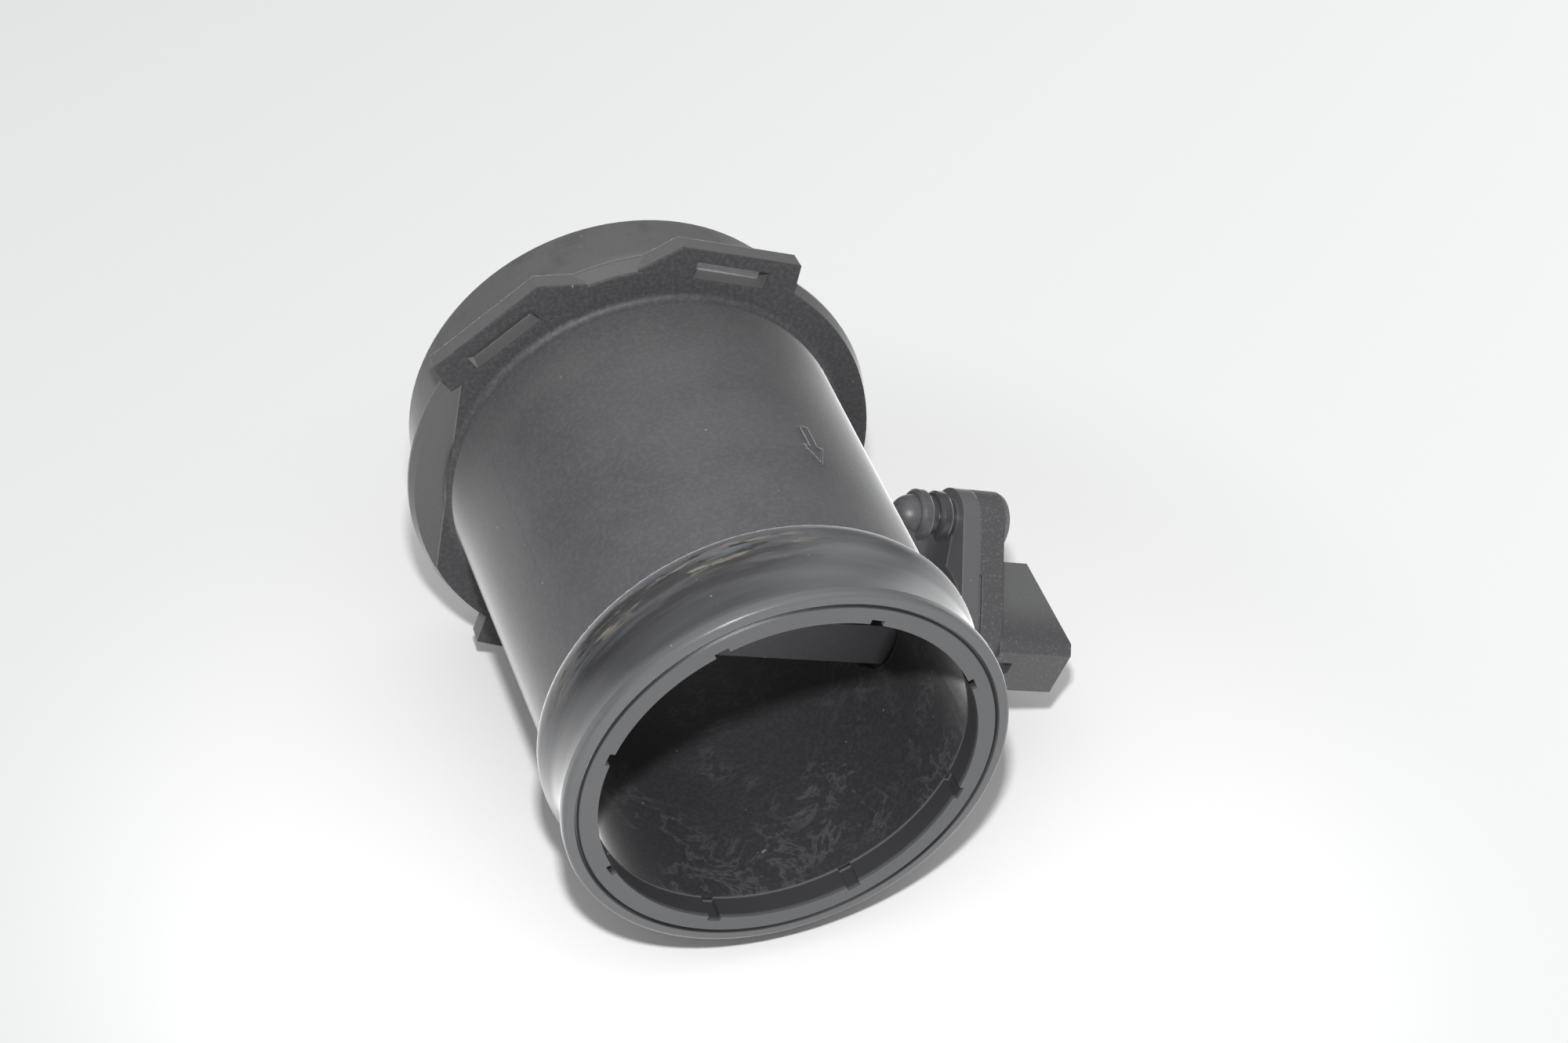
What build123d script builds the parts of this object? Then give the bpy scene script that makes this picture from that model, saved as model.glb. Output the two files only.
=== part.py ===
"""Plug-in hot-film mass airflow sensor in its moulded tube housing.

The tube axis is Y: the hose outlet faces -Y at y 0, the inlet collar faces +Y.
Z is up as the object lies. The plug-in sensor points along an axis turned a
little below +X. All sizes are in millimetres.
"""
import math
import os

from build123d import *

os.makedirs("parts", exist_ok=True)

# Tube housing, outlet end first
BORE_R = 41.0            # bore behind the outlet ring, 82 mm bore
RING_W = 4.3             # radial width of the outlet ring
RING_DEPTH = 6.0
RING_EDGE = 0.5          # bevel that leaves the fine groove round the ring
LIP_W = 2.9              # lip outside the ring
LIP_EDGE = 0.7
SADDLE_D = 0.9           # hollow of the hose seat below the lip
SADDLE_Y = 9.0
SADDLE_END = 14.0
BEAD_RISE = 0.3          # hose bead above the lip
BEAD_Y = 20.3
BEAD_BACK = 4.7          # from the top of the bead down to the tube
TUBE_WALL = 4.2          # wall just behind the bead
TUBE_TAPER = 2.7         # the tube is this much larger in radius at the plate
BORE_RUN = 33.0          # straight bore before it opens towards the inlet
ROOT_R = 1.6             # hollow rounding between tube and plate
PLATE_Y = 107.0
PLATE_T = 5.0
PLATE_W = 9.2            # plate rim beyond the tube
PLATE_DRAFT = 1.3        # the rim is smaller at its front face
PLATE_CUT = 0.6          # flat recess on the side away from the sensor, from the tube wall
PLATE_CUT_D = 1.0
PLATE_CUT_TURN = 170.5
COLLAR_W = 4.4           # inlet collar beyond the tube
COLLAR_LONG = 23.4
COLLAR_EDGE = 0.9
INLET_W = 2.7            # edge of the flared inlet
INLET_FLARE = 8.0
WALL = 3.4
NOTCH_N = 8
NOTCH_W = 3.0
NOTCH_D = 1.1
NOTCH_START = 22.5

# Clip ears on the plate
EAR_RISE = 3.0           # flat of an ear beyond the plate rim
EAR_SHORT = 11.6         # flat on the side of the neighbouring ear
EAR_LONG = 18.2
EAR_SLOPE = 8.5
EAR_FOOT_D = 4.5         # foot of an ear inside the plate rim
EARS = ((71.4, 1), (125.4, -1), (-63.4, -1), (-117.4, 1))
SLOT_GAP = 0.3           # slot above the collar
SLOT_RIM = 3.1           # bridge left above a slot
SLOT_SHORT = 7.0
SLOT_LONG = 11.2

# Sensor seat on the housing
SENSOR_TILT = 18.0       # sensor axis below the horizontal
SENSOR_Y = 54.7
SEAT_H = 10.8            # underside of the pad above the tube
PAD_T = 4.5
FLANGE_TURN = 25.0       # line of the two screws, turned from square to the tube
SCREW_D = 24.7           # screw from the sensor axis
FLANGE_R = 14.4
FLANGE_END_R = 7.2
PORT_WALL = 2.4
BOSS_R = 4.8
RIB_RISE = 1.4           # rib above its boss
RIB_T = 3.2
RIB_STEP = 5.1
RIB_DROP = 4.9           # lower face of the first rib below the pad
RIB_EDGE = 0.7
DOME_DROP = 10.2         # middle of the round boss end below the pad
WEB_T = 7.0
WEB_SINK = 2.2           # web and neck sunk in the tube wall

# Plug-in sensor
PLUG_CLEAR = 0.2
FLANGE_T = 6.6
SLIT_T = 0.9
SLIT_D = 0.8
SLIT_LONG = 14.0         # half length of the slit between the screw ends
HEAD_PAD_T = 2.1
HEAD_PAD_EDGE = 1.3
SEAL_DROP = 9.5          # sealing ring below the top of the pad
SEAL_R = 1.55
FINGER_WALL = 2.0        # finger beside its rooms
FINGER_T = 5.5           # half thickness
FINGER_TIP = 3.0         # tip beyond the tube axis
COVER_T = 1.2
CLEAR = 0.1
ROOM_GAP = 0.25          # room beside the outer pins
ROOM_FLOOR = 2.0         # floors of the room and the duct below the middle
ROOM_LOW = 17.0
ROOM_ROOF = 2.0
DUCT_FLOOR = 3.0
DUCT_END = 1.5           # wall at the tip
DUCT_TOP = 14.0
MOUTH_LOW = 1.0
MOUTH_TOP = 9.0
MOUTH_EDGE = 0.5
EXIT_IN = 1.5            # duct exit inside the duct's wall
EXIT_W = 4.5
EXIT_TOP = 11.0
LEDGE = 0.7              # ledge that carries each cover
PLATE_METAL_T = 1.2
BOARD_GAP = 1.5
BOARD_T = 1.0
BOARD_LOW = 3.0          # board ends inside the room
BOARD_TOP = 4.0
CARRIER_X = 2.5
CARRIER_LOW = 5.0
CARRIER_LAP = 2.6
CHIP_X = 1.8
CHIP_T = 0.5
CHIP_IN = 1.0            # chip above the carrier's end
CHIP_LONG = 5.0
GLASS_IN = 4.5           # air temperature bead in its niche, from the finger's edge
GLASS_R = 1.0
GLASS_LONG = 4.0
LEAD_R = 0.35
NICHE_X = 2.0
NICHE_D = 2.4
NICHE_LOW = 22.0
NICHE_LONG = 10.0

# Connector
SHROUD_TURN = 4.0
SHROUD_MID = 0.4
SHROUD_X = 15.0
SHROUD_T = 7.0
SHROUD_LONG = 19.7
SHROUD_WALL_X = 2.6
SHROUD_WALL_T = 1.7
SHROUD_BEVEL = 2.0       # bevel along the upper outlet-side edge
SOCKET_DEEP = 14.5
LATCH_D = 1.6
LATCH_T = 1.6
LATCH_LONG = 5.0
PIN_N = 5
PIN_WALL = 1.15          # plug wall left between the outer pins and the seal groove
PIN_W = 1.5
PIN_T = 0.64
PIN_MID = 1.3
PIN_SINK = 7.0           # pin ends inside the mouth
PIN_LAP = 3.0

# Screws
SHANK_R = 1.85
SHANK_LONG = 12.0
SHANK_CLEAR = 1.0
THROUGH_R = 2.3
HEAD_R = 4.0
HEAD_T = 2.6
HEAD_WELL = 0.5
HEAD_SINK = 0.3
KEY_R = 1.3
KEY_D = 1.5

# Sizes that follow
RING_SEAT_R = BORE_R + RING_W
LIP_R = RING_SEAT_R + LIP_W
BEAD_R = LIP_R + BEAD_RISE
SADDLE_R = LIP_R - SADDLE_D
TUBE_R_OUT = BORE_R + TUBE_WALL
TUBE_R_IN = TUBE_R_OUT + TUBE_TAPER
PLATE_R = TUBE_R_IN + PLATE_W
PLATE_BACK = PLATE_Y + PLATE_T
COLLAR_R = TUBE_R_IN + COLLAR_W
INLET_R = COLLAR_R - INLET_W
INLET_Y = PLATE_BACK + COLLAR_LONG
EAR_FLAT = PLATE_R + EAR_RISE
EAR_FOOT = PLATE_R - EAR_FOOT_D
SLOT_LOW = COLLAR_R + SLOT_GAP
SLOT_HIGH = EAR_FLAT - SLOT_RIM
PAD_LOW = TUBE_R_OUT + SEAT_H
PAD_TOP = PAD_LOW + PAD_T
WEB_LOW = TUBE_R_OUT - WEB_SINK
DOME_S = PAD_LOW - DOME_DROP
PORT_R = FLANGE_R - PORT_WALL
PLUG_R = PORT_R - PLUG_CLEAR
SEAL_S = PAD_TOP - SEAL_DROP
SEAL_MID = PORT_R - SEAL_R
FLANGE_TOP = PAD_TOP + FLANGE_T
HEAD_TOP = FLANGE_TOP + HEAD_PAD_T
HEAD_LOW = HEAD_TOP - HEAD_SINK - HEAD_T
SHANK_END = PAD_TOP - SHANK_LONG
COVER_LOW = FINGER_T - COVER_T
ROOM_TOP = WEB_LOW - ROOM_ROOF
DUCT_LOW = DUCT_END - FINGER_TIP
METAL_TOP = PLATE_METAL_T - ROOM_FLOOR
BOARD_FACE = METAL_TOP + BOARD_T
SHROUD_OUT = FLANGE_TOP + SHROUD_LONG
SOCKET_FLOOR = SHROUD_OUT - SOCKET_DEEP
PIN_END = SHROUD_OUT - PIN_SINK
PIN_INNER = ROOM_TOP - PIN_LAP
PIN_ROW = SEAL_MID - SEAL_R - PIN_WALL
PIN_STEP = 2 * (PIN_ROW - PIN_W / 2) / (PIN_N - 1)
ROOM_X = PIN_ROW + ROOM_GAP
FINGER_X = ROOM_X + FINGER_WALL
EXIT_X = ROOM_X - EXIT_IN
BOARD_X = ROOM_X - BOARD_GAP
GLASS_X = FINGER_X - GLASS_IN
PIN_XS = [(i - (PIN_N - 1) / 2) * PIN_STEP - SHROUD_MID for i in range(PIN_N)]

tilt = math.radians(SENSOR_TILT)
SENSOR = Plane(
    origin=(0, SENSOR_Y, 0),
    x_dir=(0, 1, 0),
    z_dir=(math.cos(tilt), 0, -math.sin(tilt)),
)
SCREW_LINE = Plane(SENSOR.location * Location((0, 0, 0), (0, 0, 90 - FLANGE_TURN)))
CONNECTOR = Plane(SENSOR.location * Location((SHROUD_MID, 0, 0), (0, 0, SHROUD_TURN)))
turn = math.radians(FLANGE_TURN)
SCREWS = [(s * SCREW_D * math.sin(turn), s * SCREW_D * math.cos(turn)) for s in (1, -1)]


def block(plane, x, y, z, mode=Mode.ADD):
    """Box between limits along the three directions of a plane."""
    with BuildSketch(plane.offset(z[0])) as face:
        with Locations(((x[0] + x[1]) / 2, (y[0] + y[1]) / 2)):
            Rectangle(x[1] - x[0], y[1] - y[0])
    extrude(face.sketch, amount=z[1] - z[0], mode=mode)


def drum(plane, centre, radius, z, mode=Mode.ADD):
    """Round bar along a plane's normal."""
    with BuildSketch(plane.offset(z[0])) as face:
        with Locations(centre):
            Circle(radius)
    extrude(face.sketch, amount=z[1] - z[0], mode=mode)


def two_ear(inset, z, mode=Mode.ADD):
    """Flange shape: a round middle drawn tangentially to the two screw ends."""
    with BuildSketch(SENSOR.offset(z[0])) as face:
        Circle(FLANGE_R - inset)
        with Locations(*SCREWS):
            Circle(FLANGE_END_R - inset)
        make_hull()
    extrude(face.sketch, amount=z[1] - z[0], mode=mode)


def turned(centre, outline):
    """Solid turned round a screw axis from an outline of (radius, distance along the axis)."""
    place = SENSOR.location * Location((*centre, 0))
    half = Plane(origin=place.position, x_dir=SENSOR.x_dir, z_dir=-SENSOR.y_dir)
    with BuildSketch(half) as face:
        Polygon(*outline, align=None)
    revolve(face.sketch, axis=Axis(place.position, SENSOR.z_dir))


# Housing: tube with hose bead, plate with four clip ears, inlet collar and sensor seat in one moulding.
root = (TUBE_R_IN + ROOT_R, PLATE_Y - ROOT_R)
bend = ROOT_R * math.sqrt(0.5)
with BuildPart() as housing:
    with BuildSketch(Plane.XY) as profile:
        with BuildLine():
            Polyline(
                (BORE_R, RING_DEPTH),
                (RING_SEAT_R, RING_DEPTH),
                (RING_SEAT_R, RING_EDGE),
                (RING_SEAT_R + RING_EDGE, 0),
                (LIP_R - LIP_EDGE, 0),
                (LIP_R - LIP_EDGE * 0.3, LIP_EDGE * 0.4),
                (LIP_R, LIP_EDGE * 1.4),
                (LIP_R, LIP_EDGE * 3.4),
            )
            Spline(
                (LIP_R, LIP_EDGE * 3.4),
                (SADDLE_R, SADDLE_Y),
                (SADDLE_R + SADDLE_D * 0.2, SADDLE_END),
                (BEAD_R, BEAD_Y),
                (BEAD_R - BEAD_BACK * 0.23, BEAD_Y + BEAD_BACK * 0.55),
                (TUBE_R_OUT, BEAD_Y + BEAD_BACK),
            )
            Line((TUBE_R_OUT, BEAD_Y + BEAD_BACK), (TUBE_R_IN, PLATE_Y - ROOT_R))
            ThreePointArc(
                (TUBE_R_IN, PLATE_Y - ROOT_R),
                (root[0] - bend, root[1] + bend),
                (TUBE_R_IN + ROOT_R, PLATE_Y),
            )
            Polyline(
                (TUBE_R_IN + ROOT_R, PLATE_Y),
                (PLATE_R - PLATE_DRAFT, PLATE_Y),
                (PLATE_R, PLATE_BACK - PLATE_T * 0.2),
                (PLATE_R, PLATE_BACK),
                (COLLAR_R, PLATE_BACK),
                (COLLAR_R, INLET_Y - COLLAR_EDGE),
                (COLLAR_R - COLLAR_EDGE, INLET_Y),
                (INLET_R, INLET_Y),
            )
            Spline(
                (INLET_R, INLET_Y),
                (INLET_R - INLET_FLARE * 0.3, INLET_Y - INLET_FLARE),
                (TUBE_R_IN - WALL, PLATE_Y),
                tangents=[(-0.1, -1), (-0.03, -1)],
            )
            Line((TUBE_R_IN - WALL, PLATE_Y), (BORE_R, BORE_RUN))
            Line((BORE_R, BORE_RUN), (BORE_R, RING_DEPTH))
        make_face()
    revolve(axis=Axis.Y)
    # Flat recess in the plate's face
    with BuildSketch(Plane.XZ.offset(-PLATE_Y)) as recess:
        Circle(PLATE_R + EAR_RISE)
        Circle(TUBE_R_IN, mode=Mode.SUBTRACT)
        with Locations(Location((0, 0, 0), (0, 0, PLATE_CUT_TURN))):
            with Locations((TUBE_R_IN + PLATE_CUT + PLATE_R / 2, 0)):
                Rectangle(PLATE_R, 2 * PLATE_R, mode=Mode.INTERSECT)
    extrude(amount=-PLATE_CUT_D, mode=Mode.SUBTRACT)
    # Clip ears with their slots
    with BuildSketch(Plane.XZ.offset(-PLATE_BACK)) as ears:
        for angle, side in EARS:
            with Locations(Location((0, 0, 0), (0, 0, angle))):
                Polygon(
                    (EAR_FLAT, side * EAR_SHORT),
                    (EAR_FOOT, side * (EAR_SHORT + EAR_SLOPE)),
                    (EAR_FOOT - EAR_RISE, 0),
                    (EAR_FOOT, -side * (EAR_LONG + EAR_RISE / 3)),
                    (EAR_FLAT, -side * EAR_LONG),
                    align=None,
                )
    extrude(amount=PLATE_T)
    with BuildSketch(Plane.XZ.offset(-PLATE_BACK)) as slots:
        for angle, side in EARS:
            with Locations(Location((0, 0, 0), (0, 0, angle))):
                with Locations(((SLOT_LOW + SLOT_HIGH) / 2, side * (SLOT_SHORT - SLOT_LONG) / 2)):
                    Rectangle(SLOT_HIGH - SLOT_LOW, SLOT_SHORT + SLOT_LONG)
    extrude(amount=PLATE_T, mode=Mode.SUBTRACT)
    # Sensor seat: neck, web, ribbed screw bosses and pad
    drum(SENSOR, (0, 0), FLANGE_R, (WEB_LOW, PAD_LOW))
    block(SCREW_LINE, (-SCREW_D, SCREW_D), (-WEB_T / 2, WEB_T / 2), (WEB_LOW, PAD_LOW))
    for centre in SCREWS:
        low = PAD_LOW - RIB_DROP
        outline = [(0, PAD_LOW), (BOSS_R, PAD_LOW)]
        for k in range(2):
            top = low + RIB_T - k * RIB_STEP
            outline += [
                (BOSS_R, top),
                (BOSS_R + RIB_RISE - RIB_EDGE, top),
                (BOSS_R + RIB_RISE, top - RIB_EDGE),
                (BOSS_R + RIB_RISE, top - RIB_T + RIB_EDGE),
                (BOSS_R + RIB_RISE - RIB_EDGE, top - RIB_T),
                (BOSS_R, top - RIB_T),
            ]
        turned(centre, outline + [(BOSS_R, DOME_S), (0, DOME_S)])
        with Locations(SENSOR.location * Location((*centre, DOME_S))):
            Sphere(BOSS_R)
    two_ear(0, (PAD_LOW, PAD_TOP))
    drum(SENSOR, (0, 0), PORT_R, (BORE_R / 2, PAD_TOP), Mode.SUBTRACT)
    for centre in SCREWS:
        drum(SENSOR, centre, SHANK_R, (SHANK_END, PAD_TOP), Mode.SUBTRACT)

# Outlet ring: pushed in the outlet, with eight snap notches round its inner edge.
with BuildPart() as outlet_ring:
    with BuildSketch(Plane.XY) as section:
        with BuildLine():
            Polyline(
                (BORE_R, 0),
                (RING_SEAT_R - RING_EDGE, 0),
                (RING_SEAT_R, RING_EDGE),
                (RING_SEAT_R, RING_DEPTH),
                (BORE_R, RING_DEPTH),
                close=True,
            )
        make_face()
    revolve(axis=Axis.Y)
    with BuildSketch(Plane.XZ) as notches:
        for k in range(NOTCH_N):
            with Locations(Location((0, 0, 0), (0, 0, NOTCH_START + k * 360 / NOTCH_N))):
                with Locations((BORE_R, 0)):
                    Rectangle(2 * NOTCH_D, NOTCH_W)
    extrude(amount=-RING_DEPTH, mode=Mode.SUBTRACT)

# Slit along each flank of the flange, between the screw ends
with BuildPart() as slit:
    two_ear(0, (PAD_TOP, PAD_TOP + SLIT_T))
    two_ear(SLIT_D, (PAD_TOP, PAD_TOP + SLIT_T), Mode.SUBTRACT)
    block(SCREW_LINE, (-SLIT_LONG, SLIT_LONG), (-SCREW_D, SCREW_D), (PAD_TOP, PAD_TOP + SLIT_T), Mode.INTERSECT)

# Sensor body: flange, connector shroud, plug and finger in one moulding.
with BuildPart() as sensor_body:
    two_ear(0, (PAD_TOP, FLANGE_TOP))
    add(slit.part, mode=Mode.SUBTRACT)
    for centre in SCREWS:
        turned(
            centre,
            [
                (0, PAD_TOP),
                (FLANGE_END_R, PAD_TOP),
                (FLANGE_END_R, HEAD_TOP - HEAD_PAD_EDGE),
                (FLANGE_END_R - HEAD_PAD_EDGE * 0.3, HEAD_TOP - HEAD_PAD_EDGE * 0.3),
                (FLANGE_END_R - HEAD_PAD_EDGE, HEAD_TOP),
                (0, HEAD_TOP),
            ],
        )
    with BuildSketch(CONNECTOR.offset(FLANGE_TOP)) as shroud:
        Polygon(
            (SHROUD_BEVEL - SHROUD_X, SHROUD_T),
            (-SHROUD_X, SHROUD_T - SHROUD_BEVEL),
            (-SHROUD_X, -SHROUD_T),
            (SHROUD_X, -SHROUD_T),
            (SHROUD_X, SHROUD_T),
            align=None,
        )
    extrude(amount=SHROUD_LONG)
    socket_x = SHROUD_X - SHROUD_WALL_X
    socket_t = SHROUD_T - SHROUD_WALL_T
    block(CONNECTOR, (-socket_x, socket_x), (-socket_t, socket_t), (SOCKET_FLOOR, SHROUD_OUT), Mode.SUBTRACT)
    # Latch notch on the outlet side of the shroud
    block(
        CONNECTOR,
        (-SHROUD_X, LATCH_D - SHROUD_X),
        (-LATCH_T, LATCH_T),
        (FLANGE_TOP, FLANGE_TOP + LATCH_LONG),
        Mode.SUBTRACT,
    )
    drum(SENSOR, (0, 0), PLUG_R, (WEB_LOW, PAD_TOP))
    groove = (SEAL_S - SEAL_R - CLEAR, SEAL_S + SEAL_R + CLEAR)
    drum(SENSOR, (0, 0), PORT_R, groove, Mode.SUBTRACT)
    drum(SENSOR, (0, 0), SEAL_MID - SEAL_R, groove)
    block(SENSOR, (-FINGER_X, FINGER_X), (-FINGER_T, FINGER_T), (-FINGER_TIP, WEB_LOW))
    # Electronics room and bypass duct, each with a ledge for its cover
    for floor, low, top in ((ROOM_FLOOR, ROOM_LOW, ROOM_TOP), (DUCT_FLOOR, DUCT_LOW, DUCT_TOP)):
        block(SENSOR, (-ROOM_X, ROOM_X), (-floor, FINGER_T), (low, top), Mode.SUBTRACT)
        block(
            SENSOR,
            (-ROOM_X - LEDGE, ROOM_X + LEDGE),
            (COVER_LOW, FINGER_T),
            (low - LEDGE, top + LEDGE),
            Mode.SUBTRACT,
        )
    # Duct mouth towards the inlet, duct exit through the back, slot for the chip carrier
    block(
        SENSOR,
        (ROOM_X, FINGER_X),
        (MOUTH_EDGE - DUCT_FLOOR, COVER_LOW - MOUTH_EDGE),
        (MOUTH_LOW, MOUTH_TOP),
        Mode.SUBTRACT,
    )
    block(SENSOR, (-EXIT_X, EXIT_W - EXIT_X), (-FINGER_T, -DUCT_FLOOR), (0, EXIT_TOP), Mode.SUBTRACT)
    block(
        SENSOR,
        (-CARRIER_X - CLEAR, CARRIER_X + CLEAR),
        (METAL_TOP, BOARD_FACE),
        (DUCT_TOP, ROOM_LOW),
        Mode.SUBTRACT,
    )
    # Niche for the air temperature bead
    block(
        SENSOR,
        (GLASS_X - NICHE_X, GLASS_X + NICHE_X),
        (-FINGER_T, NICHE_D - FINGER_T),
        (NICHE_LOW, NICHE_LOW + NICHE_LONG),
        Mode.SUBTRACT,
    )
    for x in PIN_XS:
        block(
            CONNECTOR,
            (x - PIN_W / 2, x + PIN_W / 2),
            (PIN_MID - PIN_T / 2, PIN_MID + PIN_T / 2),
            (ROOM_TOP, SOCKET_FLOOR),
            Mode.SUBTRACT,
        )
    for centre in SCREWS:
        drum(SENSOR, centre, THROUGH_R, (PAD_TOP, HEAD_TOP), Mode.SUBTRACT)
        drum(SENSOR, centre, HEAD_R + HEAD_WELL, (HEAD_LOW, HEAD_TOP), Mode.SUBTRACT)

# Sealing ring in the plug's groove
with BuildPart() as seal_ring:
    with Locations(SENSOR.location * Location((0, 0, SEAL_S))):
        Torus(SEAL_MID, SEAL_R)

# Covers of the electronics room and of the bypass duct
COVERS = {}
for name, low, top in (("electronics_cover", ROOM_LOW, ROOM_TOP), ("duct_cover", DUCT_LOW, DUCT_TOP)):
    with BuildPart() as cover:
        block(
            SENSOR,
            (-ROOM_X - LEDGE + CLEAR, ROOM_X + LEDGE - CLEAR),
            (COVER_LOW, FINGER_T),
            (low - LEDGE + CLEAR, top + LEDGE - CLEAR),
        )
    COVERS[name] = cover

# Metal base plate, circuit board, chip carrier and chip
with BuildPart() as base_plate:
    block(SENSOR, (-ROOM_X + CLEAR, ROOM_X - CLEAR), (-ROOM_FLOOR, METAL_TOP), (ROOM_LOW + CLEAR, ROOM_TOP - CLEAR))
with BuildPart() as circuit_board:
    block(SENSOR, (-BOARD_X, BOARD_X), (METAL_TOP, BOARD_FACE), (ROOM_LOW + BOARD_LOW, ROOM_TOP - BOARD_TOP))
with BuildPart() as chip_carrier:
    block(SENSOR, (-CARRIER_X, CARRIER_X), (METAL_TOP, BOARD_FACE), (CARRIER_LOW, ROOM_LOW + CARRIER_LAP))
chip_low = CARRIER_LOW + CHIP_IN
with BuildPart() as sensor_chip:
    block(SENSOR, (-CHIP_X, CHIP_X), (BOARD_FACE, BOARD_FACE + CHIP_T), (chip_low, chip_low + CHIP_LONG))

# Air temperature bead, its leads held in the ends of the niche
glass = (GLASS_X, NICHE_D / 2 - FINGER_T)
glass_low = NICHE_LOW + (NICHE_LONG - GLASS_LONG) / 2
with BuildPart() as temperature_bead:
    drum(SENSOR, glass, LEAD_R, (NICHE_LOW, NICHE_LOW + NICHE_LONG))
    drum(SENSOR, glass, GLASS_R, (glass_low, glass_low + GLASS_LONG))

# Connector pins
PINS = []
for x in PIN_XS:
    with BuildPart() as pin:
        block(
            CONNECTOR,
            (x - PIN_W / 2, x + PIN_W / 2),
            (PIN_MID - PIN_T / 2, PIN_MID + PIN_T / 2),
            (PIN_INNER, PIN_END),
        )
    PINS.append(pin)

# Two fixing screws, sunk in the flange and cutting their thread in the bosses
with BuildPart() as flange_screws:
    for centre in SCREWS:
        drum(SENSOR, centre, SHANK_R, (SHANK_END + SHANK_CLEAR, HEAD_LOW))
        drum(SENSOR, centre, HEAD_R, (HEAD_LOW, HEAD_LOW + HEAD_T))
        drum(SENSOR, centre, KEY_R, (HEAD_LOW + HEAD_T - KEY_D, HEAD_LOW + HEAD_T), Mode.SUBTRACT)

NODES = {
    "housing": housing,
    "outlet_ring": outlet_ring,
    "sensor_body": sensor_body,
    "seal_ring": seal_ring,
    **COVERS,
    "base_plate": base_plate,
    "circuit_board": circuit_board,
    "chip_carrier": chip_carrier,
    "sensor_chip": sensor_chip,
    "temperature_bead": temperature_bead,
    **{f"pin_{k + 1}": pin for k, pin in enumerate(PINS)},
    "flange_screws": flange_screws,
}
for label, built in NODES.items():
    built.part.label = label
    export_step(built.part, f"parts/{label}.step")
    print(label, round(built.part.volume, 1), len(built.part.solids()))
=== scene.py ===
# %% [markdown]
# # Looks of a plug-in mass airflow sensor
# A mass airflow sensor is a plastic tube in an engine's air intake with a small
# measuring finger plugged in from the side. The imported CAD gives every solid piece
# at its real size. This lesson gives those pieces their materials, adds the raised
# flow arrow, and sets the stage. The tube lies along Y, its hose outlet towards us.

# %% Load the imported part
import math

import bpy
from mathutils import Matrix, Vector


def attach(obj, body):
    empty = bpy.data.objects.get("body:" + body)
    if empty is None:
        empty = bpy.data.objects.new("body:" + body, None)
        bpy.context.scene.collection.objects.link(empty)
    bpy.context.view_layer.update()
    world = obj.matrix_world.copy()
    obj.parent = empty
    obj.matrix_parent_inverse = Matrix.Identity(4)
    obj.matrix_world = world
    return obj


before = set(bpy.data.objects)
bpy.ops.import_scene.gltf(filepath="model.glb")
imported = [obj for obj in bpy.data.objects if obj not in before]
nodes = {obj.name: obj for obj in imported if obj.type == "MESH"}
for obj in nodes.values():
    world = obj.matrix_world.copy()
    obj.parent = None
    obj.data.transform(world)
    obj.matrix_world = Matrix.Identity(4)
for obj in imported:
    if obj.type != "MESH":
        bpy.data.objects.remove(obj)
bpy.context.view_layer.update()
MM = 0.001

# %% [markdown]
# ## Tools for materials
# A material is a chain of shader nodes. It could be drawn by hand in the shader
# editor. Here one function adds a node with its settings and links and gives back
# one output, so that a material reads from top to bottom like a recipe. Colours
# are written as sRGB hex values, as a paint program shows them, and are turned to
# the linear values that the renderer works with.

# %% Functions for nodes and colours
SOFT = {"interpolation_type": "SMOOTHSTEP"}     # a mask that eases in and out


def add(tree, kind, inputs=None, output=0, **settings):
    """Adds a shader node, sets it, joins its inputs and gives one of its outputs."""
    node = tree.nodes.new("ShaderNode" + kind)
    for name, value in settings.items():
        setattr(node, name, value)
    for socket, source in (inputs or {}).items():
        if isinstance(source, bpy.types.NodeSocket):
            tree.links.new(source, node.inputs[socket])
        else:
            node.inputs[socket].default_value = source
    return node.outputs[output]


def linear(code):
    """Linear RGBA of an sRGB hex colour."""
    parts = [int(code[i:i + 2], 16) / 255 for i in (1, 3, 5)]
    return [c / 12.92 if c <= 0.04045 else ((c + 0.055) / 1.055) ** 2.4 for c in parts] + [1.0]


def grey(level):
    """RGBA of a linear grey, for roughness values and for paper."""
    return (level, level, level, 1.0)


def start(name, **values):
    """A new material with its tree, its shader and the object coordinates."""
    material = bpy.data.materials.new(name)
    material.use_nodes = True
    tree = material.node_tree
    shader = tree.nodes["Principled BSDF"]
    for socket, value in values.items():
        shader.inputs[socket.replace("_", " ")].default_value = value
    return material, tree, shader, add(tree, "TexCoord", output="Object")


print("tools ready")

# %% [markdown]
# ## Layers
# A used plastic part is one plain colour under several films: dust, rub marks,
# fading. Each film is a colour with a few masks that say where it lies. One
# function lays such films over each other, from the lowest to the topmost. Another
# gives a piece its finished material and shades its round faces smooth.

# %% Lay films over a base colour, dress a piece
SMOOTH_BELOW = math.radians(32)     # edges that turn less than this are shaded smooth


def layered(tree, base, layers):
    """Mixes colours over a base, each by the product of its masks."""
    for masks, colour in layers:
        amount = masks[0]
        for mask in masks[1:]:
            amount = add(tree, "Math", {0: amount, 1: mask}, operation="MULTIPLY")
        base = add(tree, "Mix", {0: amount, 6: base, 7: colour}, 2, data_type="RGBA")
    return base


def dress(name, material):
    """Gives a CAD piece its material and smooth shading."""
    piece = nodes[name]
    piece.data.materials.clear()
    piece.data.materials.append(material)
    bpy.ops.object.select_all(action="DESELECT")
    piece.select_set(True)
    bpy.context.view_layer.objects.active = piece
    bpy.ops.object.shade_smooth_by_angle(angle=SMOOTH_BELOW)


print("layers ready")

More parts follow.
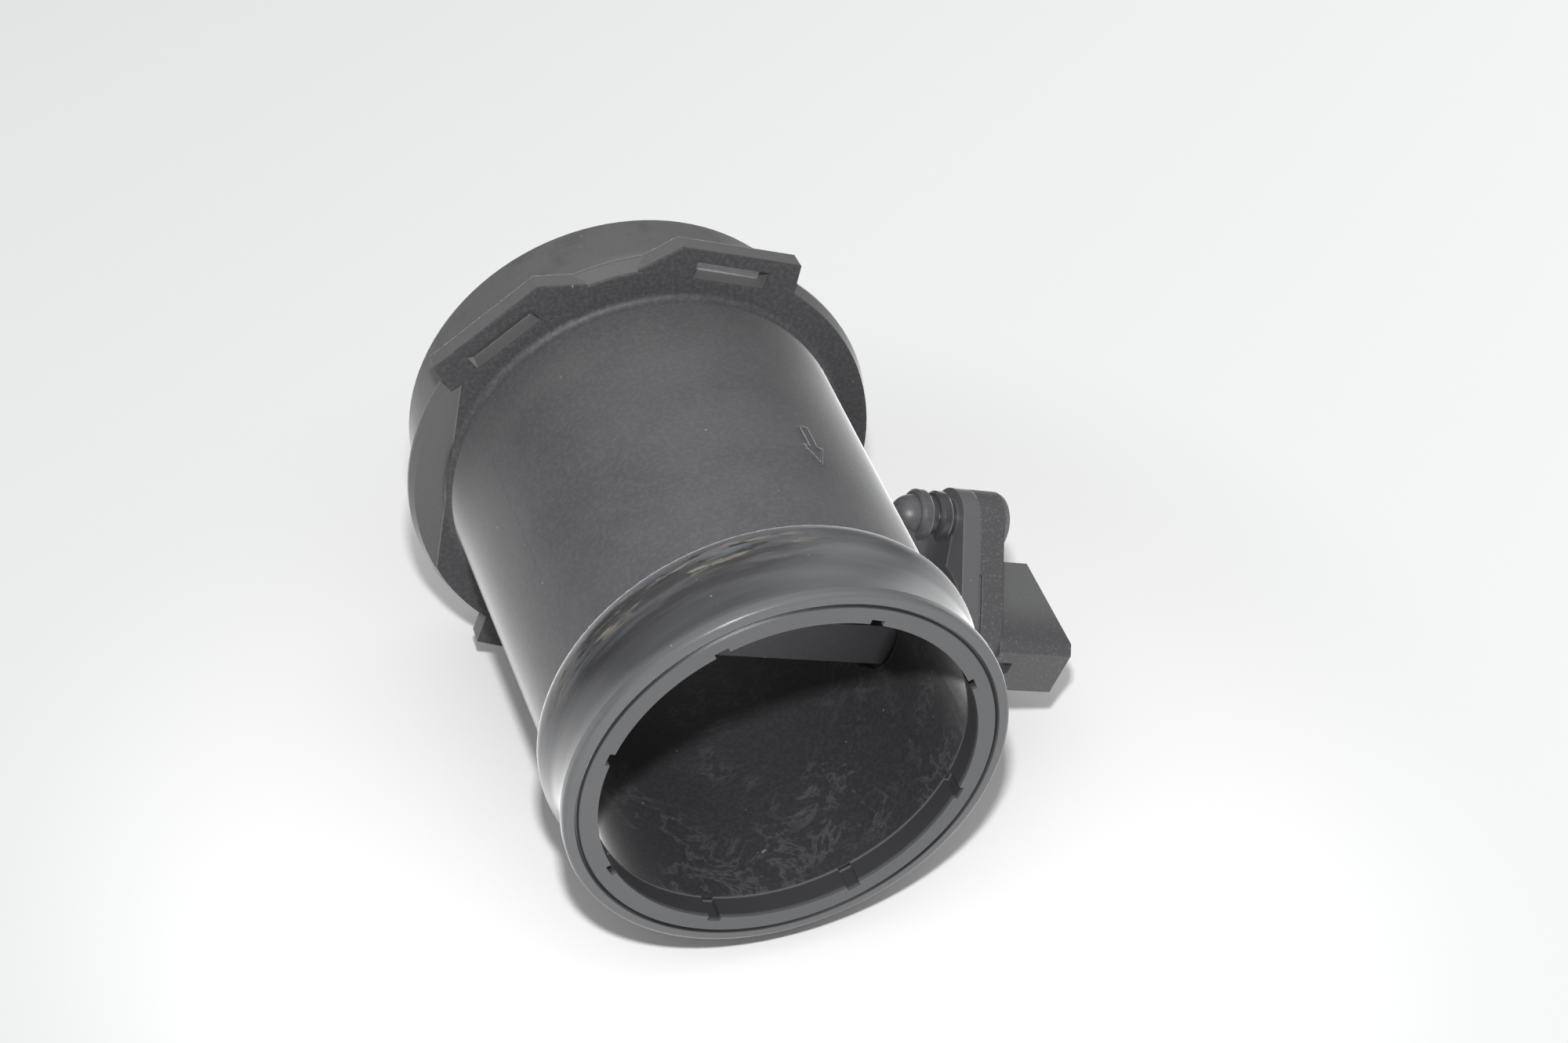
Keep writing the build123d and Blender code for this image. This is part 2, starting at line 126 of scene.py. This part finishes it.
# %% [markdown]
# ## Housing: glass-filled nylon, injection moulded
# Nylon with glass fibre comes out of the mould satin and dark grey. In use the
# plate dulls, the hose polishes its seat and leaves smears and tan scuffs on the
# bead, and the bore gathers dust. The sensor's seat stays blacker. The zones could
# be painted by hand. Here they are worked out from the place on the tube: the
# distance along it, the radius, and the angle round it from the top.

# %% Zones of the housing
TILT = math.radians(18.0)                       # the sensor points down by this angle
SENSOR_AXIS = (math.cos(TILT), 0.0, -math.sin(TILT))
TUBE_R = 47 * MM
BORE_OPENS = 0.036                              # the bore's radius grows by this share of the length
PARTING_ANGLE = math.radians(-60)               # of the mould's parting line, from the top


def housing_zones(tree, place):
    """Masks of the housing's zones, and the tube's wall laid flat."""
    x, y, z = add(tree, "SeparateXYZ", {0: place}).node.outputs
    across = add(tree, "CombineXYZ", {0: x, 2: z})
    radius = add(tree, "VectorMath", {0: across}, 1, operation="LENGTH")
    around = add(tree, "Math", {0: x, 1: z}, operation="ARCTAN2")
    arc = add(tree, "Math", {0: around, 1: TUBE_R}, operation="MULTIPLY")
    flat = add(tree, "CombineXYZ", {0: arc, 1: y})
    out = add(tree, "VectorMath", {0: place, 1: SENSOR_AXIS}, 1, operation="DOT_PRODUCT")
    opening = add(tree, "Math", {0: y, 1: -BORE_OPENS, 2: radius}, operation="MULTIPLY_ADD")
    beside = add(tree, "Math", {0: around, 1: PARTING_ANGLE}, operation="SUBTRACT")
    beside = add(tree, "Math", {0: beside}, operation="ABSOLUTE")
    # A zone starts at its first value and is full from its second, here in millimetres
    lengths = {
        "plate": (y, 104.5, 106.8),
        "near_plate": (y, 84, 106),
        "behind": (y, 107.2, 107.8),
        "before_mouth": (y, 134.0, 130.0),
        "collar": (y, 112.1, 112.6),
        "collar_corner": (y, 122.0, 114.0),
        "hose": (y, 25.5, 23.8),
        "rub_front": (y, 8.0, 14.0),
        "rub_back": (y, 21.0, 19.0),
        "ridge_front": (y, 15.0, 17.5),
        "ridge_back": (y, 22.0, 20.3),
        "lip": (y, 5.0, 1.5),
        "joint": (radius, 45.95, 45.6),
        "saddle": (y, 17.5, 14.5),
        "upper": (z, 10, 34),
        "boss": (out, 48.5, 50.5),
        "pad": (out, 55.5, 56.0),
        "before_plate": (y, 100, 96),
        "bore": (opening, 42.8, 42.2),
        "parting_from": (y, 40, 60),
        "parting_to": (y, 100, 85),
    }
    # And here in radians
    angles = {
        # right side of the tube: real dust on the collar, and a painted highlight on the hose saddle
        "dust_and_highlight_side": (around, -0.3, 0.2),
        "worn_from": (around, -1.55, -0.95),
        "worn_to": (around, 0.45, -0.15),
        "parting": (beside, 0.0055, 0.0025),
    }
    zone = {}
    for name, (source, a, b) in lengths.items():
        zone[name] = add(tree, "MapRange", {0: source, 1: a * MM, 2: b * MM}, **SOFT)
    for name, (source, a, b) in angles.items():
        zone[name] = add(tree, "MapRange", {0: source, 1: a, 2: b}, **SOFT)
    return zone, flat


print("zones ready")

# %% [markdown]
# ## Marks of use on the housing
# Noise textures break the zones up. The size of each pattern is a real one: hand
# marks a few centimetres long, dust flocks of about a centimetre, hose scuffs that
# run round the bead as lines a millimetre wide. A mapping stretches the marks that
# run round the tube.

# %% Marks on the housing
SMEAR_STRETCH = 45 / 5.5        # length of a hose smear over its width
SCUFF_STRETCH = 8.0             # the same for a scuff
MARK_ROUGHNESS = 0.62           # the share of fine detail in every mark


def housing_marks(tree, place, flat):
    """Masks of the marks of use, each a noise that is cut between two values."""
    ring_wise = add(tree, "Mapping", {0: flat, 3: (1 / SMEAR_STRETCH, 1, 1)})
    line_wise = add(tree, "Mapping", {0: flat, 3: (1 / SCUFF_STRETCH, 1, 1)})
    # Coordinates, size in millimetres, detail, noise where the mark starts and is full
    patterns = {
        "hand": (place, 26, 4.0, 0.3, 0.7),
        "film": (place, 6, 5.0, 0.45, 0.7),
        "smear": (ring_wise, 5.5, 2.0, 0.34, 0.70),
        "scuff": (line_wise, 1.25, 10.0, 0.52, 0.64),
        "dark_scuff": (line_wise, 1.0, 5.0, 0.47, 0.38),
        "rub": (ring_wise, 3.4375, 5.0, 0.33, 0.58),
        "patch": (place, 24, 2.0, 0.40, 0.58),
        "smudge": (place, 14, 5.0, 0.45, 0.66),
        "mottle": (place, 1.0, 3.0, 0.40, 0.68),
        "speck": (place, 1.3, 0.0, 0.865, 0.90),
    }
    mark = {}
    for name, (where, size, detail, a, b) in patterns.items():
        cloud = add(tree, "TexNoise", {
            "Vector": where,
            "Scale": 1 / (size * MM),
            "Detail": detail,
            "Roughness": MARK_ROUGHNESS,
        })
        mark[name] = add(tree, "MapRange", {0: cloud, 1: a, 2: b}, **SOFT)
    return mark


print("marks ready")

# %% [markdown]
# ## Hose seat and bore
# The hose is pushed on over the lip and the bead. It polishes that seat, blackens
# it on the worn side and leaves tan scuffs on the bead's front. A pale band on the
# saddle's right side is a painted highlight. The bore's wall is painted darker than
# the same nylon outside, as painted shade, and dust lies in it as thin wisps. A wisp
# is a contour of a noise: the places where the noise is close to one value.

# %% Colours of the hose seat and the bore
WISP_SIZE = 11 * MM
WISP_VALUE, WISP_SPREAD = 0.52, 0.035


def hose_seat(tree, zone, mark):
    """Colour of the outlet's outside, from the lip to the bead."""
    worn = (zone["worn_from"], zone["worn_to"])
    rubbed = (zone["rub_front"], zone["rub_back"], *worn)
    ridge = (zone["ridge_front"], zone["ridge_back"], *worn)
    return layered(tree, linear("#454648"), [
        ((mark["smear"],), linear("#5d5e61")),
        ((zone["saddle"], *worn, 0.6), linear("#333335")),
        # painted highlight: a pale band on the saddle's right side stands in for the lamp's gloss there
        ((zone["saddle"], zone["dust_and_highlight_side"], 0.3), linear("#737476")),
        ((*rubbed, mark["rub"], 0.85), linear("#242425")),
        ((*ridge, mark["dark_scuff"]), linear("#262627")),
        ((*ridge, mark["scuff"], 0.6), linear("#857d71")),
        ((zone["lip"],), linear("#595a5c")),
        # painted shade: a near-black line where the ring meets the housing, the shade of the gap
        # between them
        ((zone["joint"],), linear("#1a1a1b")),
    ])


def bore_wall_shade_and_dust(tree, place, mark):
    """Colour of the bore's wall: a dark base of painted shade, with dust over it."""
    wisp = add(tree, "TexNoise", {
        "Vector": place,
        "Scale": 1 / WISP_SIZE,
        "Detail": 9.0,
        "Roughness": 0.68,
        "Distortion": 0.6,
    })
    wisp = add(tree, "Math", {0: wisp, 1: WISP_VALUE}, operation="SUBTRACT")
    wisp = add(tree, "Math", {0: wisp}, operation="ABSOLUTE")
    wisp = add(tree, "MapRange", {0: wisp, 1: WISP_SPREAD, 2: 0.0}, **SOFT)
    # painted shade: the bore's wall is drawn far darker than the same nylon outside
    return layered(tree, linear("#28282b"), [
        ((mark["mottle"], 0.25), linear("#4a4a4d")),
        ((wisp, mark["patch"], 0.22), linear("#77777b")),
    ])


print("hose seat and bore ready")

# %% [markdown]
# ## The housing's material
# All films now go over the plain nylon in order, and the same zones set how rough
# the skin is. The mould's spark grain is a bump. Rounding the edges in the mesh
# would take many faces, so a bevel node turns the light there instead.

# %% Housing material
GRAIN = 0.4 * MM                # the real grain is finer, this one is coarse enough to show
GRAIN_DEPTH = 0.2 * MM
EDGE_R = 0.45 * MM              # edges rounded by the mould and by wear, which catch the lamp


def housing_plastic():
    # Satin skin: broad soft highlights, paler where it is seen at a flat angle
    material, tree, shader, place = start(
        "satin glass-filled nylon", IOR=1.53, Sheen_Weight=0.45, Sheen_Roughness=0.3
    )
    zone, flat = housing_zones(tree, place)
    mark = housing_marks(tree, place, flat)
    boss = (zone["boss"], zone["before_plate"])
    pad = (zone["pad"], zone["before_plate"])
    film = (zone["near_plate"], zone["upper"], zone["before_plate"], mark["film"], 0.4)
    dust = (zone["collar"], zone["collar_corner"], zone["dust_and_highlight_side"], zone["upper"], 0.7)
    base = layered(tree, linear("#464648"), [
        ((mark["hand"],), linear("#4f4f51")),
        ((zone["plate"],), linear("#38383a")),
        (film, linear("#5d554b")),
        ((zone["behind"],), linear("#59595a")),
        ((zone["collar"], mark["smudge"], 0.55), linear("#434341")),
        (dust, linear("#b0b0b3")),
        ((zone["parting"], zone["parting_from"], zone["parting_to"], 0.4), linear("#2c2c2d")),
        ((mark["mottle"], 0.3), linear("#626264")),
        ((zone["hose"],), hose_seat(tree, zone, mark)),
        (boss, linear("#3a3a3c")),
        (pad, linear("#575759")),
        # the bore's painted shade, with its dust
        ((zone["bore"], zone["before_mouth"]), bore_wall_shade_and_dust(tree, place, mark)),
        ((mark["speck"], 0.4), linear("#a8a6a0")),
    ])
    tree.links.new(base, shader.inputs["Base Color"])
    rough = layered(tree, grey(0.43), [
        ((zone["hose"],), grey(0.29)),
        (boss, grey(0.26)),
        (pad, grey(0.42)),
        ((zone["near_plate"],), grey(0.58)),
        ((zone["bore"],), grey(0.6)),
    ])
    tree.links.new(rough, shader.inputs["Roughness"])
    grain = add(tree, "TexNoise", {"Vector": place, "Scale": 1 / GRAIN, "Detail": 2.0})
    edge = add(tree, "Bevel", {"Radius": EDGE_R}, samples=4)
    bump = add(tree, "Bump", {
        "Height": grain, "Strength": 0.12, "Distance": GRAIN_DEPTH, "Normal": edge,
    })
    tree.links.new(bump, shader.inputs["Normal"])
    return material


nylon = housing_plastic()
dress("housing", nylon)
print("housing dressed with", nylon.name)

# %% [markdown]
# ## Outlet ring: nylon, faded
# The ring is pressed in the outlet and stays there. Its open face has faded paler
# than the housing, while its inner wall is painted nearly as dark as the bore, as
# painted shade. A near-black line of painted shade runs in the fine groove round it,
# and its inner end shows as a thin pale line in the bore.
# Masks from the distance along the tube and from the radius part these.

# %% Ring material
FADING = 16 * MM                # size of the clouds in the faded face


def ring_plastic():
    # Matt and even, pale on the open face
    material, tree, shader, place = start("faded nylon", IOR=1.53, Roughness=0.45)
    x, y, z = add(tree, "SeparateXYZ", {0: place}).node.outputs
    across = add(tree, "CombineXYZ", {0: x, 2: z})
    radius = add(tree, "VectorMath", {0: across}, 1, operation="LENGTH")
    lengths = {"face": (y, 1.2, 0.4), "groove": (radius, 44.7, 45.0), "rubbed": (y, 5.3, 5.7)}
    zone = {}
    for name, (source, a, b) in lengths.items():
        zone[name] = add(tree, "MapRange", {0: source, 1: a * MM, 2: b * MM}, **SOFT)
    cloud = add(tree, "TexNoise", {"Vector": place, "Scale": 1 / FADING, "Detail": 4.0})
    # the base is the inner wall's colour: painted shade, as dark as the bore's
    base = layered(tree, linear("#363638"), [
        ((zone["rubbed"], 0.7), linear("#6c6c6e")),
        ((zone["face"],), linear("#4e4f51")),
        ((zone["face"], cloud, 0.4), linear("#626365")),
        # painted shade: a near-black line in the groove, the shade of the gap between ring and housing
        ((zone["groove"],), linear("#1a1a1b")),
    ])
    tree.links.new(base, shader.inputs["Base Color"])
    grain = add(tree, "TexNoise", {"Vector": place, "Scale": 1 / GRAIN})
    bump = add(tree, "Bump", {"Height": grain, "Strength": 0.08, "Distance": GRAIN_DEPTH})
    tree.links.new(bump, shader.inputs["Normal"])
    return material


dress("outlet_ring", ring_plastic())
print("ring dressed")

# %% [markdown]
# ## Sensor body: polyester with glass fibre, injection moulded
# The plug-in sensor is moulded from PBT polyester with much glass fibre. Fibre ends
# show as fine pale flecks on its black skin. A noise with only its peaks kept gives
# such flecks, drawn larger than the fibres so that they show.

# %% Sensor plastic
SENSOR_UP = (math.sin(TILT), 0.0, math.cos(TILT))
FLECK = 0.6 * MM
FLECK_FROM, FLECK_FULL = 0.56, 0.70     # the noise's peaks
FIBRE_GRAIN = 0.45 * MM


def sensor_plastic(name, code, fleck, amount):
    # Dull black with a grey bloom of fibre ends
    # Paler on the connector's upper face and on the finger: painted light on those faces
    material, tree, shader, place = start(name, IOR=1.57, Roughness=0.46, Sheen_Weight=0.06)
    out = add(tree, "VectorMath", {0: place, 1: SENSOR_AXIS}, 1, operation="DOT_PRODUCT")
    up = add(tree, "VectorMath", {0: place, 1: SENSOR_UP}, 1, operation="DOT_PRODUCT")
    lengths = {"finger": (out, 42, 38), "connector": (out, 67, 68), "top": (up, 6.2, 7.2)}
    zone = {}
    for key, (source, a, b) in lengths.items():
        zone[key] = add(tree, "MapRange", {0: source, 1: a * MM, 2: b * MM}, **SOFT)
    cloud = add(tree, "TexNoise", {"Vector": place, "Scale": 1 / FLECK, "Detail": 2.0})
    peaks = add(tree, "MapRange", {0: cloud, 1: FLECK_FROM, 2: FLECK_FULL}, **SOFT)
    base = layered(tree, linear(code), [
        # painted light: the finger drawn paler, as if the lamp lit its face
        ((zone["finger"],), linear("#68686b")),
        # painted light: the connector's upward face drawn paler, as if lit from above
        ((zone["connector"], zone["top"]), linear("#5e5f5f")),
        ((peaks, amount), linear(fleck)),
    ])
    tree.links.new(base, shader.inputs["Base Color"])
    grain = add(tree, "TexNoise", {"Vector": place, "Scale": 1 / FIBRE_GRAIN, "Detail": 3.0})
    edge = add(tree, "Bevel", {"Radius": EDGE_R}, samples=4)
    bump = add(tree, "Bump", {
        "Height": grain, "Strength": 0.16, "Distance": GRAIN_DEPTH, "Normal": edge,
    })
    tree.links.new(bump, shader.inputs["Normal"])
    return material


body = sensor_plastic("black polyester with glass fibre", "#454547", "#7c7c80", 0.35)
dress("sensor_body", body)
cover = sensor_plastic("black polyester", "#414143", "#6a6a6d", 0.2)
for piece in ("electronics_cover", "duct_cover"):
    dress(piece, cover)
print("sensor body and covers dressed")

# %% [markdown]
# ## Inner pieces and fasteners
# These hardly show, so each has one plain finish that is typical of its material:
# its colour, how rough it is and how much of a metal.

# %% Plain finishes
FINISHES = {
    "seal_ring": ("nitrile rubber", "#1b1b1b", 0.7, 0.0),                       # black, matt
    "base_plate": ("rolled aluminium sheet", "#b9babb", 0.35, 1.0),             # pale metal, soft shine
    "circuit_board": ("fired alumina ceramic", "#d8d4c8", 0.6, 0.0),            # cream, matt
    "chip_carrier": ("moulded liquid crystal polymer", "#55544f", 0.5, 0.0),    # olive grey, satin
    "sensor_chip": ("polished silicon", "#30343d", 0.15, 0.6),                  # dark mirror
    "temperature_bead": ("fused glass bead", "#2c1c12", 0.12, 0.0),             # brown, glossy
    "flange_screws": ("zinc-plated steel", "#a9abad", 0.32, 1.0),               # grey metal, soft shine
    "pin_1": ("tinned bronze", "#c9c5b8", 0.3, 1.0),                            # warm pale metal
}
PINS = 5
for piece, (name, code, rough, metal) in FINISHES.items():
    finish = start(name, Base_Color=linear(code), Roughness=rough, Metallic=metal)[0]
    dress(piece, finish)
for k in range(2, PINS + 1):
    dress(f"pin_{k}", nodes["pin_1"].data.materials[0])
print("plain finishes made:", len(FINISHES))

# %% [markdown]
# ## Flow arrow
# A plain outlined arrow stands a third of a millimetre proud of the tube and
# points to the outlet, so that the part isn't fitted the wrong way round. It could
# be cut in the mould's CAD. Here it starts as a seven-cornered face. An inset leaves
# its rim, the inner face goes, and the rim is divided so that a shrinkwrap can lay
# it on the round tube. A solidify then gives it its height.

# %% Arrow outline
ARROW_ANGLE = math.radians(63.0)                # round the tube, up from the X axis
ARROW_TAIL, ARROW_NECK, ARROW_TIP = 60.7 * MM, 53.8 * MM, 46.8 * MM
ARROW_SHAFT, ARROW_HEAD = 1.3 * MM, 2.8 * MM    # half widths
ARROW_LINE = 0.5 * MM
ARROW_RISE = 0.35 * MM
corners = [
    (-ARROW_SHAFT, ARROW_TAIL),
    (-ARROW_SHAFT, ARROW_NECK),
    (-ARROW_HEAD, ARROW_NECK),
    (0.0, ARROW_TIP),
    (ARROW_HEAD, ARROW_NECK),
    (ARROW_SHAFT, ARROW_NECK),
    (ARROW_SHAFT, ARROW_TAIL),
]
bpy.ops.object.select_all(action="DESELECT")
bpy.ops.mesh.primitive_circle_add(vertices=len(corners), radius=ARROW_HEAD, fill_type="NGON")
arrow = bpy.context.object
arrow.name = "flow_arrow"
stand = Matrix.Rotation(math.pi / 2 - ARROW_ANGLE, 4, "Y") @ Matrix.Translation((0, 0, TUBE_R))
for vertex, (across, along) in zip(arrow.data.vertices, corners):
    vertex.co = stand @ Vector((across, along, 0))
print("arrow corners", len(arrow.data.vertices))

# %% Rim of the arrow, laid on the tube
bpy.ops.object.mode_set(mode="EDIT")
bpy.ops.mesh.select_all(action="SELECT")
bpy.ops.mesh.normals_make_consistent(inside=False)
bpy.ops.mesh.inset(thickness=ARROW_LINE)
bpy.ops.mesh.delete(type="FACE")
bpy.ops.mesh.select_all(action="SELECT")
bpy.ops.mesh.subdivide(number_cuts=3)
bpy.ops.object.mode_set(mode="OBJECT")
lay = arrow.modifiers.new("lay on tube", "SHRINKWRAP")
lay.target = nodes["housing"]
lay.wrap_method = "NEAREST_SURFACEPOINT"
bpy.ops.object.modifier_apply(modifier=lay.name)
rise = arrow.modifiers.new("height", "SOLIDIFY")
rise.thickness = 2 * ARROW_RISE                 # half of it is sunk in the tube
rise.offset = 0.0
bpy.ops.object.modifier_apply(modifier=rise.name)
arrow.data.materials.append(nylon)
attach(arrow, "root")
print("arrow faces", len(arrow.data.polygons))

# %% [markdown]
# ## Floor
# The shadows in the photograph show the outlet a few millimetres clear of the floor
# and the lower ears near it. They don't fix the height well, so it was set within
# what they allow, and the floor is a plane through two such points. It is pale
# paper that takes the part's shadow. Far from the part it turns to plain white for
# the camera and for reflections, as a lit backdrop does, and its glow is painted a
# little darker towards the far left corner, as painted light.

# %% Floor plane
BELOW_LIP = (1.0 * MM, -56.0 * MM)      # y and z of the floor under the outlet
BELOW_EAR = (107.0 * MM, -59.0 * MM)    # y and z of the floor under the lower ears
FLOOR_SIZE = 80.0                       # in metres, so that no view sees its edge
lean = math.atan2(BELOW_EAR[1] - BELOW_LIP[1], BELOW_EAR[0] - BELOW_LIP[0])
bpy.ops.object.select_all(action="DESELECT")
bpy.ops.mesh.primitive_plane_add(size=FLOOR_SIZE)
floor = bpy.context.object
floor.name = "floor"
floor.data.transform(Matrix.Translation((0, *BELOW_LIP)) @ Matrix.Rotation(lean, 4, "X"))
print("floor leans", round(math.degrees(lean), 2), "degrees")

# %% Pale paper
PART_MIDDLE = (0.02, 0.07, -0.05)
WHITE_FROM, WHITE_TO = 0.11, 0.20       # distances from the part's middle, in metres
PAPER = grey(0.87)
BACKDROP = (0.985, 1.0, 1.0, 1.0)
# painted light: the backdrop's glow dims to the far left and brightens to the near right, as the room's
# light falls off
SLANT = (1.0, -1.2, 0.0)                # the backdrop brightens to the near right
SLANT_FROM, SLANT_TO = -0.85, 0.25
BACKDROP_DIM, BACKDROP_BRIGHT = 0.77, 0.95
paper, tree, shader, place = start(
    "pale paper", Base_Color=PAPER, Roughness=0.9, Specular_IOR_Level=0.0
)
ray = add(tree, "LightPath").node.outputs
seen = add(tree, "Math", {0: ray["Is Camera Ray"], 1: ray["Is Glossy Ray"]}, operation="MAXIMUM")
seen = add(tree, "Math", {0: seen, 1: ray["Is Transmission Ray"]}, operation="MAXIMUM")
away = add(tree, "VectorMath", {0: place, 1: PART_MIDDLE}, 1, operation="DISTANCE")
away = add(tree, "MapRange", {0: away, 1: WHITE_FROM, 2: WHITE_TO}, **SOFT)
share = add(tree, "Math", {0: seen, 1: away}, operation="MULTIPLY")
slant = add(tree, "VectorMath", {0: place, 1: SLANT}, 1, operation="DOT_PRODUCT")
# painted light: the slant sets the backdrop's glow from dim to bright
level = add(tree, "MapRange", {
    0: slant, 1: SLANT_FROM, 2: SLANT_TO, 3: BACKDROP_DIM, 4: BACKDROP_BRIGHT,
})
backdrop = add(tree, "Emission", {"Color": BACKDROP, "Strength": level})
joined = add(tree, "MixShader", {0: share, 1: shader.outputs[0], 2: backdrop})
tree.links.new(joined, tree.nodes["Material Output"].inputs["Surface"])
floor.data.materials.append(paper)
print("floor covered with", paper.name)

# %% [markdown]
# ## Light
# In the photograph the shadows hug the part, and the lip's own shadow falls into
# the bore, so the lamp stood just above the lens, in a bright room. Here a small
# lamp stands at the place that the shadows' edges give, and a white world, brighter
# above than at eye level, fills the rest. Together they light white paper to about
# white.

# %% Room and lamp
WALLS, CEILING = 0.06, 0.83                 # brightness at eye level and overhead
EYE_LEVEL, OVERHEAD = 0.1, 0.95             # the upward part of the direction there
LAMP_PLACE = Vector((-0.0997, -0.240, 0.368))
LAMP_AIM = Vector((0.02, 0.06, 0.0))
LAMP_SIZE = 0.02
LAMP_WATTS = 2.3
world = bpy.data.worlds.new("bright room")
bpy.context.scene.world = world
world.use_nodes = True
tree = world.node_tree
upward = add(tree, "SeparateXYZ", {0: add(tree, "TexCoord", output="Generated")}, 2)
level = add(tree, "MapRange", {0: upward, 1: EYE_LEVEL, 2: OVERHEAD, 3: WALLS, 4: CEILING})
tree.nodes["Background"].inputs["Color"].default_value = (1, 1, 1, 1)
tree.links.new(level, tree.nodes["Background"].inputs["Strength"])
lamp_data = bpy.data.lights.new("lamp above the lens", "AREA")
lamp_data.shape = "SQUARE"
lamp_data.size = LAMP_SIZE
lamp_data.energy = LAMP_WATTS
lamp = bpy.data.objects.new("lamp above the lens", lamp_data)
bpy.context.scene.collection.objects.link(lamp)
lamp.location = LAMP_PLACE
lamp.rotation_euler = (LAMP_AIM - LAMP_PLACE).to_track_quat("-Z", "Y").to_euler()
print("lamp", round((LAMP_PLACE - LAMP_AIM).length, 2), "m from the part")

# %% [markdown]
# ## Camera
# The place, the aim and the lens were worked out from the circles of the tube and
# the connector's edges in the photograph, so the render can be laid over it.

# %% Camera
EYE = Vector((-0.11496, -0.29335, 0.32276))
AIM = Vector((0.02492, 0.07901, 0.0))
ROLL = math.radians(3.03)
FILM_WIDTH, LENS = 36.0, 50.32              # in millimetres
camera_data = bpy.data.cameras.new("camera")
camera_data.sensor_width = FILM_WIDTH
camera_data.lens = LENS
camera = bpy.data.objects.new("camera", camera_data)
bpy.context.scene.collection.objects.link(camera)
camera.location = EYE
turn = (AIM - EYE).to_track_quat("-Z", "Y").to_matrix().to_4x4() @ Matrix.Rotation(ROLL, 4, "Z")
camera.rotation_euler = turn.to_euler()
scene = bpy.context.scene
scene.camera = camera
scene.view_settings.view_transform = "Standard"
print("camera", round((EYE - AIM).length, 2), "m from its aim")
